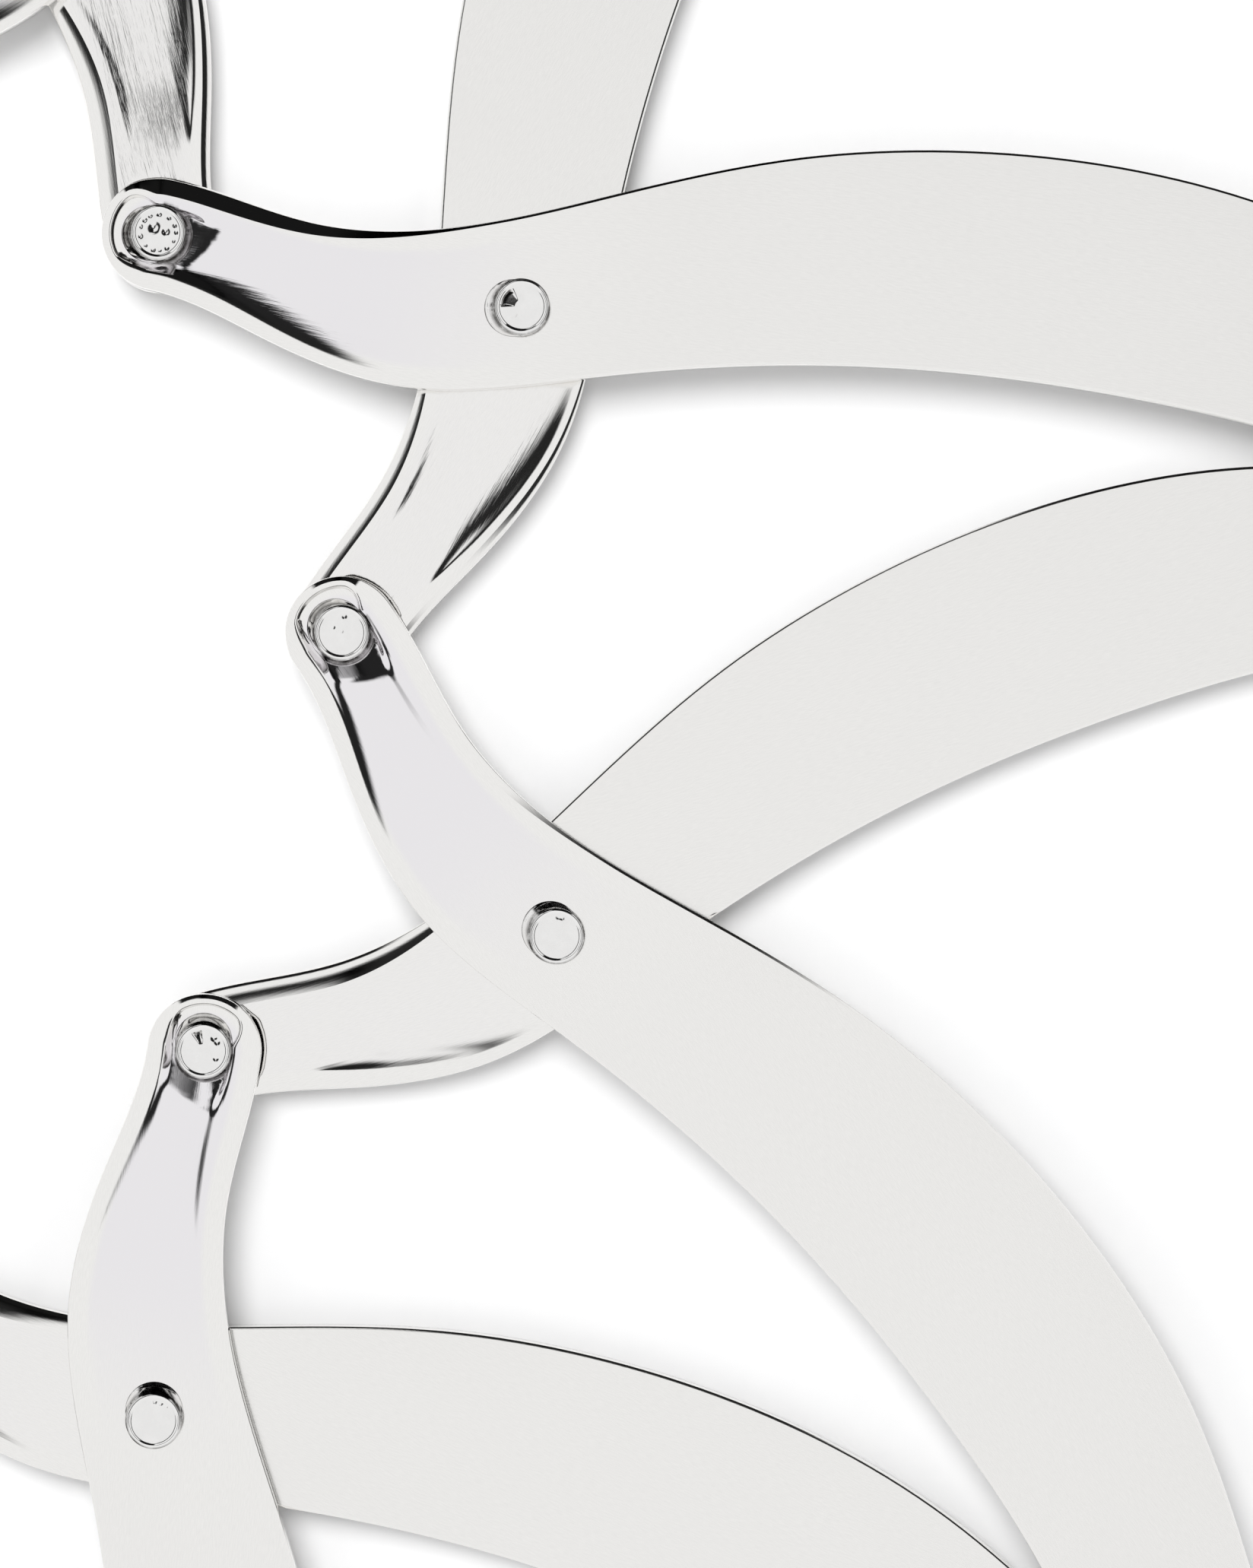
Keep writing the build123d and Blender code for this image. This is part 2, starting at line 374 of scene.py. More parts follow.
def shoulder_rings(layer, pair, x, side, cap):
    """Inset and depth under the crest of each ring up the rounded shoulder, from the edge."""
    back, belly, eye, far = SHOULDER_WIDTHS[layer]
    back = back * NARROW_SHOULDERS.get((layer, pair), 1.0)
    near = mix(mix(back, belly, side), eye, cap)
    width = mix(near, far, smooth(x, *SHOULDER_FADE[layer]))
    rises = np.tan(np.radians(SHOULDER_TILTS[layer])) / len(SHOULDER_TILTS[layer])
    found = []
    for step in range(len(rises) + 1):
        found.append((width * step / len(rises), width * rises[step:].sum()))
    return found


def wall_rings(layer, pair, x, side, cap):
    """Distance past the crest and share of the floor's depth of each ring down the inner wall."""
    full_width = WALL_WIDTH[layer] * DISH_SHARE.get((layer, pair), 1.0)
    belly = mix(NARROW_WALL, full_width, band(x, *WALL_RUN[layer]))
    cap = mix(cap, 1 - smooth(x, *BELLY_EYE_END), side)
    back = mix(*BACK_WALL, band(x, *BACK_WALL_RUN))
    width = mix(mix(back, belly, side), EYE_WALL, cap)
    roll = mix(ROLL_WIDTH["side"], ROLL_WIDTH["eye"], cap)
    found = [(roll * part, fall) for part, fall in ROLL]
    rolled = ROLL[-1][1]
    for share in np.linspace(0, 1, WALL_STEPS + 1)[1:]:
        steep_first = 1 - (1 - share) ** 2
        profile = mix(smooth(share, 0.0, 1.0), steep_first, side * (1 - cap))
        found.append((mix(roll, width, share), mix(rolled, 1.0, profile)))
    return found


def edge_rings(layer, pair, points, normals, side):
    """Rings of vertices from the underside's bevel, up the edge, over the rim, to the floor.

    Also gives the number of the ring along the crest's outer edge, which is crisp.
    """
    x = points[:, 0]
    cap = 1 - smooth(x, *EYE_END)
    shoulder = shoulder_rings(layer, pair, x, side, cap)
    nothing = np.zeros(len(points))

    def ring(inset, height):
        flat = points + normals * (nothing + inset)[:, None]
        return np.column_stack([flat, height + nothing])

    rings = [
        ring(UNDER_BEVEL, 0.0),
        ring(UNDER_BEVEL * 0.3, UNDER_BEVEL * 0.3),
        ring(0.0, UNDER_BEVEL),
        ring(0.0, THICKNESS - shoulder[0][1] - EDGE_BREAK[1]),
    ]
    for inset, depth in shoulder:
        rings.append(ring(np.maximum(inset, EDGE_BREAK[0]), THICKNESS - depth))
    crisp = len(rings) - 1
    crest = mix(CREST_WIDTH["side"], CREST_WIDTH["eye"], cap)
    brink = shoulder[-1][0] + mix(crest, CREST_WIDTH["far"], smooth(x, *SHOULDER_FADE[layer]))
    rings.append(ring(brink, THICKNESS))
    for past, share in wall_rings(layer, pair, x, side, cap):
        flat = ring(brink + past, 0.0)
        flat[:, 2] = THICKNESS - dish_depth(layer, pair, flat[:, 0], flat[:, 1]) * share
        rings.append(flat)
    return rings, crisp


def floor_points(inner, count, holes):
    """Points inside the innermost ring: cross lines between the edges, and rings round holes."""
    total = len(inner)
    found = []
    for i in range(count):
        back = inner[i]
        belly = inner[total - TAIL_POINTS - 1 - i]
        for share in np.linspace(0, 1, CROSS_SPACES + 1)[1:-1]:
            found.append(mix(back, belly, share))
    found = np.array(found)
    turns = np.linspace(0, 2 * math.pi, HOLE_POINTS, endpoint=False)
    for hole in holes:
        clear = CLEAR_OF_SEAT if hole == holes[0] else CLEAR_OF_HOLE
        found = found[np.hypot(found[:, 0] - hole, found[:, 1]) > clear]
    for hole in holes:
        for radius in ROUND_SEAT if hole == holes[0] else ROUND_HOLE:
            ring = np.column_stack([hole + radius * np.cos(turns), radius * np.sin(turns)])
            found = np.vstack([found, ring])
    near = np.linalg.norm(found[:, None] - inner[None], axis=2).min(axis=1)
    return found[near > CLEAR_OF_RIM]


def fill(bm, loop, holes, spare, height, up):
    """Triangulate the area inside a loop of vertices and outside the holes."""
    flat = [vert.co.xy for vert in loop]
    verts = list(loop)
    edges = [(i, (i + 1) % len(loop)) for i in range(len(loop))]
    rims = []
    for hole in holes:
        start = len(flat)
        rim = []
        for turn in np.linspace(0, 2 * math.pi, HOLE_POINTS, endpoint=False):
            x = hole + HOLE_RADIUS * math.cos(turn)
            y = HOLE_RADIUS * math.sin(turn)
            rim.append(bm.verts.new((x, y, height(x, y))))
            flat.append(Vector((x, y)))
        verts += rim
        rims.append(rim)
        edges += [(start + i, start + (i + 1) % HOLE_POINTS) for i in range(HOLE_POINTS)]
    for x, y in spare:
        verts.append(bm.verts.new((x, y, height(x, y))))
        flat.append(Vector((x, y)))
    made = delaunay_2d_cdt(flat, edges, [], 1, 1e-5)
    origin = [group[0] for group in made[3]]
    for face in made[2]:
        corners = [verts[origin[i]] for i in face]
        centre = sum((corner.co for corner in corners), Vector()) / len(corners)
        if any(math.hypot(centre.x - hole, centre.y) < HOLE_RADIUS * 0.98 for hole in holes):
            continue
        made_face = bm.faces.new(corners)
        made_face.normal_update()
        if (made_face.normal.z > 0) != up:
            made_face.normal_flip()
    return rims


def blade_shell(layer, pair):
    """A blade's closed surface in millimetres, its outline, and the ring that stays crisp."""
    points, side, count = blade_outline()
    holes = (0.0, INNER_ARM, BLADE_LENGTH)
    bm = bmesh.new()
    shapes, crisp = edge_rings(layer, pair, points, inward_normals(points), side)
    rings = [[bm.verts.new(co) for co in shape] for shape in shapes]
    total = len(points)
    for lower, upper in zip(rings, rings[1:]):
        for i in range(total):
            j = (i + 1) % total
            bm.faces.new((lower[j], lower[i], upper[i], upper[j]))
    inner = np.array([vert.co.xy for vert in rings[-1]])

    def face_height(x, y):
        return THICKNESS - float(dish_depth(layer, pair, np.float64(x), np.float64(y)))

    spare = floor_points(inner, count, holes)
    upper_rims = fill(bm, rings[-1], holes, spare, face_height, True)
    lower_rims = fill(bm, rings[0], holes, [], lambda x, y: 0.0, False)
    for upper, lower in zip(upper_rims, lower_rims):
        for i in range(HOLE_POINTS):
            j = (i + 1) % HOLE_POINTS
            bm.faces.new((upper[i], upper[j], lower[j], lower[i]))
    loose = [vert for vert in bm.verts if not vert.link_faces]
    bmesh.ops.delete(bm, geom=loose, context="VERTS")
    bmesh.ops.recalc_face_normals(bm, faces=bm.faces)
    return bm, points, rings[crisp]


def shade(bm, sharp_angle, crisp=()):
    """Smooth shading, but for edges sharper than an angle and edges along the crisp ring."""
    for face in bm.faces:
        face.smooth = True
    crisp = set(crisp)
    for edge in bm.edges:
        edge.smooth = edge.calc_face_angle(0) < math.radians(sharp_angle)
        if crisp.issuperset(edge.verts):
            edge.smooth = False


def set_finish_or_shade(mesh, finish, values):
    attribute = mesh.attributes.new(finish, "FLOAT", "POINT")
    attribute.data.foreach_set("value", values.astype(np.float32))


def finish_and_shade_blade(mesh, layer, pair, outline):
    """Store how polished, tinged and ground each vertex of a blade is, and how much shade is painted on it."""
    place = np.zeros(len(mesh.vertices) * 3)
    mesh.vertices.foreach_get("co", place)
    place = place.reshape(-1, 3)
    x, y, z = place.T
    down = THICKNESS - z
    reach = np.hypot(x, y)
    rim = np.array([np.hypot(*(outline - spot).T).min() for spot in place[:, :2]])
    dish = 1 - smooth(x, *POLISH_END)
    set_finish_or_shade(mesh, "polish", np.maximum(dish, smooth(down, 0.0, 0.02) * EDGE_POLISH))
    set_finish_or_shade(mesh, "lilac", dish * smooth(rim, *TINGE_IN))
    ground = GRINDING[layer].get(pair, USUAL_GRINDING) * (1 - smooth(x, *GRINDING_END))
    set_finish_or_shade(mesh, "grinding", ground * smooth(rim, *GRINDING_IN))
    turn = np.degrees(np.arctan2(y, x)) % 360
    # Painted shade: the shadow in the well at the inner eye's far end, and a contact shadow ring round the head's
    # foot
    at_eye = band(turn, *WELL_SHADE_TURN) * (reach < EYE_RADIUS) * (rim > 0.4)
    well_shade = WELL_SHADE.get(pair, USUAL_WELL_SHADE) * at_eye * band(down, *WELL_SHADE_DOWN)
    set_finish_or_shade(mesh, "painted_shade", np.maximum(well_shade, (x > 0) * band(reach, *FOOT_SHADE_RING)))


def blade_mesh(name, layer, pair):
    """A blade lying on z = 0 in its own axes, in metres, with its finish and painted shade on each vertex."""
    bm, outline, crisp = blade_shell(layer, pair)
    shade(bm, 40, crisp)
    # Each pair lies elsewhere on the brushing pattern, so that no two blades are alike
    uv = bm.loops.layers.uv.new("blade")
    for face in bm.faces:
        for loop in face.loops:
            loop[uv].uv = (loop.vert.co.x / 100 + pair * 3.7, loop.vert.co.y / 100 + pair * 1.9)
    mesh = bpy.data.meshes.new(name)
    bm.to_mesh(mesh)
    bm.free()
    finish_and_shade_blade(mesh, layer, pair, outline)
    mesh.transform(Matrix.Scale(MM, 4))
    return mesh


# ---------------------------------------------------------------- rivets

def lathe(profile):
    """Closed turned solid from (radius, height) points that start and end on the axis."""
    bm = bmesh.new()
    rows = []
    for radius, height in profile:
        if radius < 1e-6:
            rows.append([bm.verts.new((0, 0, height))])
            continue
        row = []
        for i in range(RIVET_SEGMENTS):
            turn = 2 * math.pi * i / RIVET_SEGMENTS
            row.append(bm.verts.new((radius * math.cos(turn), radius * math.sin(turn), height)))
        rows.append(row)
    for a, b in zip(rows, rows[1:]):
        for i in range(RIVET_SEGMENTS):
            j = (i + 1) % RIVET_SEGMENTS
            if len(a) == 1:
                bm.faces.new((a[0], b[j], b[i]))
            elif len(b) == 1:
                bm.faces.new((a[i], a[j], b[0]))
            else:
                bm.faces.new((a[i], a[j], b[j], b[i]))
    return bm


def random_marks(seed):
    """Setting marks for a head that has none of its own in HEAD_MARKS."""
    luck = random.Random(seed)
    flats = []
    for _ in range(luck.choice((0, 0, 1, 2))):
        flats.append((luck.uniform(0, 360), luck.uniform(10, 32), luck.uniform(0.14, 0.22)))
    dents = []
    for _ in range(luck.randint(1, 4)):
        reach, turn = luck.uniform(0.1, 1.1), luck.uniform(0, 2 * math.pi)
        size, depth = luck.uniform(0.16, 0.3), luck.uniform(0.02, 0.05)
        dents.append((reach * math.cos(turn), reach * math.sin(turn), size, depth))
    return flats, dents, luck.choice((0, 0, 13))


def strike(bm, marks, crown):
    """Press a head's setting marks into its crown."""
    flats, dents, dots = marks
    dents = list(dents)
    for i in range(dots):
        turn = 2 * math.pi * (i + 0.2 * math.sin(5.0 * i)) / dots
        size = 0.12 + 0.03 * math.sin(3.0 * i)
        dents.append((DOT_RING * math.cos(turn), DOT_RING * math.sin(turn), size, DOT_DEPTH))
    for vert in bm.verts:
        reach = math.hypot(vert.co.x, vert.co.y)
        if vert.co.z < crown - 0.12 or reach > CROWN_HOLLOW:
            continue
        turn = math.atan2(vert.co.y, vert.co.x)
        for bearing, half, slope in flats:
            away = abs((turn - math.radians(bearing) + math.pi) % (2 * math.pi) - math.pi)
            inside = 1 - smooth(away, math.radians(half) - 0.06, math.radians(half) + 0.06)
            vert.co.z -= slope * max(reach - FLAT_START, 0.0) * float(inside)
        for x, y, size, depth in dents:
            away = math.hypot(vert.co.x - x, vert.co.y - y) / size
            vert.co.z -= depth * math.exp(-away * away * 1.5)


def head_top(seat, crown):
    """Profile of an upper head from its seat, up its flank and over its rim, to its middle."""
    profile = [
        (HEAD_BASE, seat),
        (HEAD_BASE, seat + 0.05),
        (HEAD_BASE - 0.03, seat + 0.09),
        (HEAD_RADIUS - 0.02, seat + 0.3),
        (HEAD_RADIUS - 0.04, crown - 0.3),
        (HEAD_RADIUS - 0.05, crown - 0.26),
        (HEAD_RADIUS, crown - 0.22),
        (HEAD_RADIUS - 0.03, crown - 0.14),
        (HEAD_RADIUS - 0.1, crown - 0.06),
        (HEAD_RADIUS - 0.18, crown - 0.015),
        (HEAD_RADIUS - 0.26, crown),
        (HEAD_RADIUS - 0.33, crown - 0.01),
        (HEAD_RADIUS - 0.38, crown - 0.06),
    ]
    for radius in np.linspace(1.58, 0.06, 28):
        profile.append((radius, crown - 0.085 + 0.05 * math.cos(radius)))
    profile.append((0, crown - 0.035))
    return profile


def head_under(seat, crown):
    """Profile of a lower head, from the middle of its face to its seat."""
    flat = UNDER_HEAD - UNDER_ROUNDING
    profile = [(0, crown), (1.0, crown), (flat, crown)]
    for turn in np.radians([30, 60, 90]):
        rise = UNDER_ROUNDING * (1 - math.cos(turn))
        profile.append((UNDER_HEAD - UNDER_ROUNDING * (1 - math.sin(turn)), crown + rise))
    profile += [(UNDER_HEAD, seat - 0.1), (UNDER_HEAD, seat)]
    return profile


def rivet_shell(node, seat_low, seat_high):
    """A rivet's closed surface in millimetres, with a head at each end that has a seat."""
    low, high = levels(node)
    if seat_low is None:
        profile = [(0, low), (SHANK_RADIUS, low)]
    else:
        profile = head_under(seat_low, low) + [(SHANK_RADIUS, seat_low)]
    if seat_high is None:
        bm = lathe(profile + [(SHANK_RADIUS, high), (0, high)])
    else:
        bm = lathe(profile + [(SHANK_RADIUS, seat_high)] + head_top(seat_high, high))
        strike(bm, HEAD_MARKS.get(node) or random_marks(node), high)
    bmesh.ops.recalc_face_normals(bm, faces=bm.faces)
    return bm


def lean(bm, foot, crown, outward):
    """Push the base of an upper head inward, while its crown stays on the rivet's axis."""
    for vert in bm.verts:
        if vert.co.z < foot - 0.001 or vert.co.xy.length < SHANK_RADIUS * 1.01:
            continue
        share = float(np.clip((vert.co.z - foot) / (crown - foot - UPRIGHT), 0, 1))
        vert.co.xy -= Vector((math.cos(outward), math.sin(outward))) * LEAN * (1 - share)


def paint_rivet_shade(mesh, foot, crown, outward):
    """Store each vertex's painted shade, on the foot, groove, outline and hollow of the upper head.

    All that lies under the foot, the shank and the lower head, gets as much painted shade as the foot.
    """
    heights = np.array([vert.co.z for vert in mesh.vertices])
    reach = np.array([vert.co.xy.length for vert in mesh.vertices])
    turn = np.array([math.atan2(vert.co.y, vert.co.x) for vert in mesh.vertices])
    # Painted shade: a contact shadow at the head's foot and all below it, a dark line in the groove under the
    # crown's rim, a darker outline round the rim that changes round the head with its lean, and a faint shade in
    # the crown's hollow that sets the bright rim off
    corner = 0.9 * (1 - smooth(heights - foot, 0.04, 0.1))
    seam_shade = 0.9 * (1 - smooth(abs(heights - crown + 0.27), 0.02, 0.06))
    outer = (reach > HEAD_RADIUS - 0.2) * (heights > crown - 0.25)
    uneven = 0.75 + 0.25 * np.cos(2 * turn + outward)
    outline = smooth(crown - heights, 0.0, 0.06) * outer * uneven
    hollow = 1 - smooth(reach, HEAD_RADIUS - 0.4, HEAD_RADIUS - 0.34)
    hollow_shade = 0.05 * hollow * (heights > crown - 0.3)
    set_finish_or_shade(mesh, "painted_shade", np.maximum.reduce([corner, seam_shade, outline, hollow_shade]))


def rivet_mesh(node, seat_low, seat_high, outward):
    """A rivet's mesh in metres, its upper head leaning along a direction in plan."""
    crown = levels(node)[1]
    foot = crown if seat_high is None else seat_high
    bm = rivet_shell(node, seat_low, seat_high)
    if seat_high is not None:
        lean(bm, foot, crown, outward)
    shade(bm, 50)
    mesh = bpy.data.meshes.new(node + "_mesh")
    bm.to_mesh(mesh)
    bm.free()
    paint_rivet_shade(mesh, foot, crown, outward)
    mesh.transform(Matrix.Scale(MM, 4))
    return mesh


# ---------------------------------------------------------------- materials

class Nodes:
    """Short way to lay out one material's or world's shader nodes."""

    def __init__(self, tree):
        self.tree = tree
        tree.nodes.clear()

    def add(self, kind, **settings):
        node = self.tree.nodes.new(kind)
        for name, value in settings.items():
            setattr(node, name, value)
        return node

    def link(self, source, target):
        self.tree.links.new(source, target)

    def feed(self, socket, value):
        """Link an output to a socket, or set a plain value on it."""
        if isinstance(value, bpy.types.NodeSocket):
            self.link(value, socket)
        else:
            socket.default_value = value

    def math(self, operation, *values):
        node = self.add("ShaderNodeMath", operation=operation)
        for socket, value in zip(node.inputs, values):
            self.feed(socket, value)
        return node.outputs[0]

    def ramp(self, value, low, high, start=0.0, end=1.0):
        node = self.add("ShaderNodeMapRange", interpolation_type="SMOOTHSTEP")
        for socket, given in zip(node.inputs, (value, low, high, start, end)):
            self.feed(socket, given)
        return node.outputs[0]

    def blend(self, share, first, second):
        node = self.add("ShaderNodeMix", data_type="RGBA")
        self.feed(node.inputs[0], share)
        self.feed(node.inputs[6], first)
        self.feed(node.inputs[7], second)
        return node.outputs[2]

    def stored(self, name):
        """What the vertices say about one part of the finish, or about the shade painted on them."""
        return self.add("ShaderNodeAttribute", attribute_name=name).outputs["Fac"]

    def noise(self, vector, scale, detail=2.0, rough=0.5):
        node = self.add("ShaderNodeTexNoise")
        self.link(vector, node.inputs["Vector"])
        node.inputs["Scale"].default_value = scale
        node.inputs["Detail"].default_value = detail
        node.inputs["Roughness"].default_value = rough
        node.inputs["Lacunarity"].default_value = 2.37
        return node.outputs["Fac"]

    def stretched(self, vector, scale):
        node = self.add("ShaderNodeMapping")
        self.link(vector, node.inputs["Vector"])
        node.inputs["Scale"].default_value = scale
        return node.outputs["Vector"]


def new_material(name):
    material = bpy.data.materials.new(name)
    material.use_nodes = True
    tree = Nodes(material.node_tree)
    shader = tree.add("ShaderNodeBsdfPrincipled")
    output = tree.add("ShaderNodeOutputMaterial")
    tree.link(shader.outputs[0], output.inputs["Surface"])
    return material, tree, shader


def paint_shade(tree, tint):
    """Paint shade into the tint where the vertices say so, broken up by a fine noise."""
    place = tree.add("ShaderNodeTexCoord").outputs["Object"]
    patchy = tree.ramp(tree.noise(place, 1100.0, 3.0, 0.6), 0.3, 0.6, 0.45, 1.0)
    return tree.blend(tree.math("MULTIPLY", tree.stored("painted_shade"), patchy), tint, PAINTED_SHADE)


def add_relief(tree, shader, height, depth, strength):
    """Bump the surface by a height from 0 to 1 that stands for a depth in millimetres."""
    bump = tree.add("ShaderNodeBump")
    bump.inputs["Distance"].default_value = depth * MM
    bump.inputs["Strength"].default_value = strength
    tree.link(height, bump.inputs["Height"])
    tree.link(bump.outputs[0], shader.inputs["Normal"])


def blade_steel(name, satin, mirror, tinge):
    """Steel brushed lengthwise, with polished and ground places set by the vertices.

    satin and mirror are the roughness of its two finishes, tinge how lilac its dish looks.
    """
    material, tree, shader = new_material(name)
    plan = tree.add("ShaderNodeUVMap", uv_map="blade").outputs["UV"]
    hairs = tree.noise(tree.stretched(plan, (30.0, 900.0, 1.0)), 1.0, 3.0, 0.65)
    streaks = tree.noise(tree.stretched(plan, (13.0, 260.0, 1.0)), 1.0, 3.0, 0.6)
    grain = tree.noise(tree.stretched(plan, (160.0, 1500.0, 1.0)), 1.0, 2.0, 0.6)
    polish = tree.stored("polish")
    grinding = tree.stored("grinding")
    warm = tree.blend(tree.noise(plan, 9.0, 2.0), (0.945, 0.936, 0.918, 1), (0.93, 0.921, 0.903, 1))
    warm = tree.blend(tree.ramp(grain, 0.3, 0.7), warm, (0.905, 0.896, 0.879, 1))
    tint = tree.blend(tree.ramp(tree.stored("lilac"), 0.15, 0.9, 0.0, tinge), warm, LILAC)
    # The colour carries painted shade where the vertices say so
    tree.feed(shader.inputs["Base Color"], paint_shade(tree, tint))
    matt = tree.math("ADD", satin, tree.math("MULTIPLY", hairs, 0.07))
    worked = tree.math("MULTIPLY", grinding, tree.math("MULTIPLY", streaks, 0.1))
    gloss = tree.math("ADD", mirror, worked)
    brushed = tree.math("MULTIPLY", tree.math("SUBTRACT", 1.0, polish), matt)
    polished = tree.math("MULTIPLY", polish, gloss)
    tree.feed(shader.inputs["Roughness"], tree.math("ADD", brushed, polished))
    shader.inputs["Metallic"].default_value = 1.0
    brushing = tree.math("MULTIPLY", hairs, 0.06)
    relief = tree.math("ADD", brushing, tree.math("MULTIPLY", streaks, grinding))
    add_relief(tree, shader, relief, 0.026, 1.0)
    return material


def rivet_steel():
    """Bright steel with faint handling marks, with shade painted into the corners of the heads."""
    material, tree, shader = new_material("rivet_steel")
    place = tree.add("ShaderNodeTexCoord").outputs["Object"]
    marks = tree.noise(place, 900.0, 3.0, 0.6)
    tint = tree.blend(marks, (0.945, 0.94, 0.932, 1), (0.9, 0.894, 0.885, 1))
    # The colour carries painted shade where the vertices say so
    tree.feed(shader.inputs["Base Color"], paint_shade(tree, tint))
    tree.feed(shader.inputs["Roughness"], tree.ramp(marks, 0.3, 0.7, 0.05, 0.13))
    shader.inputs["Metallic"].default_value = 1.0
    add_relief(tree, shader, tree.noise(place, 2500.0, 2.0), 0.008, 0.5)
    return material


def washer_nylon():
    material, tree, shader = new_material("washer_nylon")
    place = tree.add("ShaderNodeTexCoord").outputs["Object"]
    grain = tree.noise(place, 1500.0, 2.0)
    tint = tree.blend(grain, (0.74, 0.73, 0.7, 1), (0.8, 0.79, 0.76, 1))
    tree.feed(shader.inputs["Base Color"], tint)
    tree.feed(shader.inputs["Roughness"], tree.ramp(grain, 0.3, 0.7, 0.42, 0.58))
    return material


def floor_white():
    material, tree, shader = new_material("floor_white")
    place = tree.add("ShaderNodeTexCoord").outputs["Object"]
    grain = tree.noise(place, 400.0, 2.0)
    tint = tree.blend(grain, (0.88, 0.88, 0.885, 1), (0.9, 0.9, 0.9, 1))
    tree.feed(shader.inputs["Base Color"], tint)
    shader.inputs["Roughness"].default_value = 0.9
    return material


# ---------------------------------------------------------------- pieces

def piece(name, mesh, material, body, node, heading=0.0, place=(0.0, 0.0), height=0.0):
    """Put a mesh in place of a CAD node, riding on its body."""
    obj = bpy.data.objects.new(name, mesh)
    bpy.context.scene.collection.objects.link(obj)
    mesh.materials.append(material)
    turn = Matrix.Rotation(heading, 4, "Z")
    mesh.transform(Matrix.Translation(Vector((*place, height)) * MM) @ turn)
    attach(obj, body)
    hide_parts(node)


def blade_heading(layer, pair):
    """Direction in plan from a blade's inner eye to its crossing pivot."""
    inner, crossing, _ = blade_rivets(layer, pair)
    run = middle(crossing) - middle(inner)
    return math.atan2(run[1], run[0])


def make_blades():
    steels = {
        "top": blade_steel("blade_steel_top", satin=0.15, mirror=0.045, tinge=0.9),
        "bottom": blade_steel("blade_steel_bottom", satin=0.15, mirror=0.055, tinge=0.15),
    }
    for layer in ("top", "bottom"):
        for pair in range(1, PAIRS + 1):
            node = f"blade_{layer}_{pair}"
            piece(
                f"steel_{node}",
                blade_mesh(f"{node}_mesh", layer, pair),
                steels[layer],
                f"{layer}_{pair}",
                node,
                heading=blade_heading(layer, pair),
                place=middle(blade_rivets(layer, pair)[0]),
                height=levels(node)[0],
            )


def seats(node):
    """Heights of the faces over a rivet's lower head and under its upper one, or None."""
    low, high = levels(node)
    if node.startswith("outer_rivet_head"):
        return None, high - HEAD_HEIGHT
    if node.startswith("outer_rivet_foot"):
        return low + HEAD_HEIGHT, None
    clearance = RUNNING_CLEARANCE if node.startswith(("crossing", "inner")) else 0.0
    return low + HEAD_HEIGHT - clearance, high - HEAD_HEIGHT


def upper_blade(node):
    """Layer and pair of the topmost blade that a rivet goes through."""
    for layer in ("top", "bottom"):
        for pair in range(1, PAIRS + 1):
            if node in blade_rivets(layer, pair):
                return layer, pair
    raise ValueError(node)


def make_rivets():
    steel = rivet_steel()
    for body, nodes in frame["record"]["behaviour"]["bodies"].items():
        for node in nodes:
            if "rivet" not in node:
                continue
            outward = blade_heading(*upper_blade(node)) + LEAN_TURN
            mesh = rivet_mesh(node, *seats(node), outward)
            piece(f"set_{node}", mesh, steel, body, node, place=middle(node))


def paint_washers():
    nylon = washer_nylon()
    for name, obj in frame["nodes"].items():
        if name.startswith("washers"):
            obj.data.materials.clear()
            obj.data.materials.append(nylon)


# ---------------------------------------------------------------- studio

# The view: straight down on the ring's right side, as tall as VIEW_HEIGHT at the blades' faces
VIEW_CENTRE = CROSSING + np.array([5.06, 11.03])
VIEW_HEIGHT = 113.9
LENS = 100.0
SENSOR = 36.0


def make_floor():
    mesh = bpy.data.meshes.new("floor_mesh")
    half = FLOOR_HALF
    corners = [(-half, -half, 0), (half, -half, 0), (half, half, 0), (-half, half, 0)]
    mesh.from_pydata(corners, [], [(0, 1, 2, 3)])
    floor = bpy.data.objects.new("floor", mesh)
    bpy.context.scene.collection.objects.link(floor)
    mesh.materials.append(floor_white())


def card_mask(tree, direction, flat, rise, card):
    """1 toward a dark card and 0 elsewhere, with a soft border."""
    bearing, half, low, high, soft, _ = card
    turn = math.radians(bearing)
    east = tree.math("MULTIPLY", direction[0], math.cos(turn))
    north = tree.math("MULTIPLY", direction[1], math.sin(turn))
    facing = tree.math("DIVIDE", tree.math("ADD", east, north), flat)
    away = tree.math("DEGREES", tree.math("ARCCOSINE", facing))
    mask = tree.ramp(away, half - soft, half + soft, 1.0, 0.0)
    mask = tree.math("MULTIPLY", mask, tree.ramp(rise, low - soft, low + soft))
    return tree.math("MULTIPLY", mask, tree.ramp(rise, high - soft, high + soft, 1.0, 0.0))


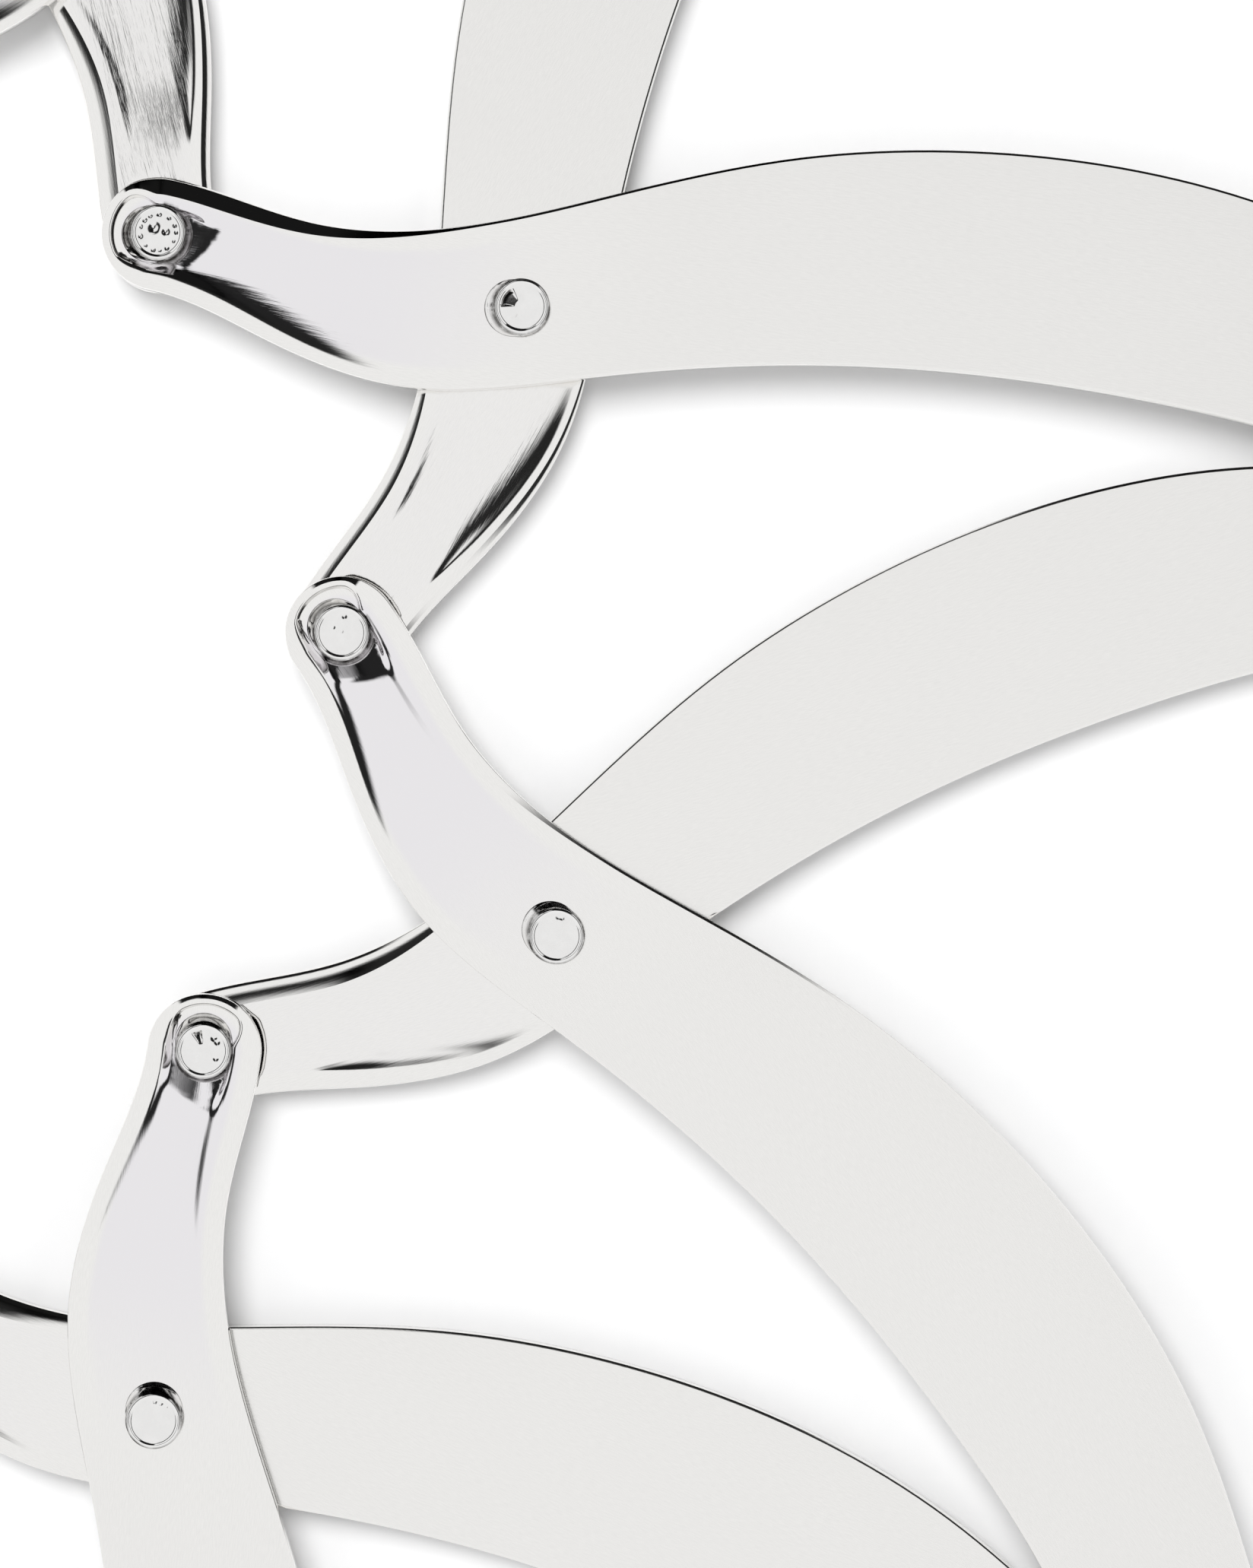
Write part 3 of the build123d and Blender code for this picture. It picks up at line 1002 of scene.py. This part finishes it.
def make_world():
    """White tent with dark cards that the polished steel mirrors. The camera sees plain white."""
    world = bpy.data.worlds.new("studio")
    bpy.context.scene.world = world
    world.use_nodes = True
    tree = Nodes(world.node_tree)
    split = tree.add("ShaderNodeSeparateXYZ")
    tree.link(tree.add("ShaderNodeTexCoord").outputs["Generated"], split.inputs[0])
    x, y, z = split.outputs
    squares = tree.math("ADD", tree.math("MULTIPLY", x, x), tree.math("MULTIPLY", y, y))
    flat = tree.math("MAXIMUM", tree.math("SQRT", squares), 0.001)
    rise = tree.math("DEGREES", tree.math("ARCTAN2", z, flat))
    light = TENT_LIGHT
    for card in DARK_CARDS:
        taken = tree.math("MULTIPLY", card_mask(tree, (x, y), flat, rise, card), card[-1])
        light = tree.math("MULTIPLY", light, tree.math("SUBTRACT", 1.0, taken))
    seen = tree.add("ShaderNodeLightPath").outputs["Is Camera Ray"]
    unseen = tree.math("MULTIPLY", light, tree.math("SUBTRACT", 1.0, seen))
    background = tree.add("ShaderNodeBackground")
    background.inputs["Color"].default_value = (1, 1, 1, 1)
    tree.link(tree.math("ADD", unseen, seen), background.inputs["Strength"])
    output = tree.add("ShaderNodeOutputWorld")
    tree.link(background.outputs[0], output.inputs["Surface"])


def polar(distance, bearing, elevation):
    """Vector of a length, toward a bearing and an elevation in degrees."""
    turn, lift = math.radians(bearing), math.radians(elevation)
    level = math.cos(lift)
    return Vector((math.cos(turn) * level, math.sin(turn) * level, math.sin(lift))) * distance


def make_key_light():
    """Soft light from above, which the polished steel doesn't mirror."""
    lamp = bpy.data.lights.new("key", "AREA")
    lamp.shape = "DISK"
    lamp.size = KEY_SIZE
    lamp.energy = KEY_POWER
    key = bpy.data.objects.new("key", lamp)
    bpy.context.scene.collection.objects.link(key)
    aim = Vector((*(VIEW_CENTRE * MM), 0))
    key.location = aim + polar(*KEY_PLACE)
    key.visible_glossy = False
    key.rotation_euler = (aim - key.location).to_track_quat("-Z", "Y").to_euler()


def make_camera():
    data = bpy.data.cameras.new("camera")
    data.lens = LENS
    data.sensor_width = SENSOR
    data.clip_start = 0.005
    camera = bpy.data.objects.new("camera", data)
    bpy.context.scene.collection.objects.link(camera)
    distance = VIEW_HEIGHT * LENS / SENSOR
    camera.location = Vector((VIEW_CENTRE[0], VIEW_CENTRE[1], BLADE_HIGH + distance)) * MM
    bpy.context.scene.camera = camera


make_camera()
make_world()
make_key_light()
make_floor()
make_blades()
make_rivets()
paint_washers()
bpy.context.scene.view_settings.view_transform = "Standard"
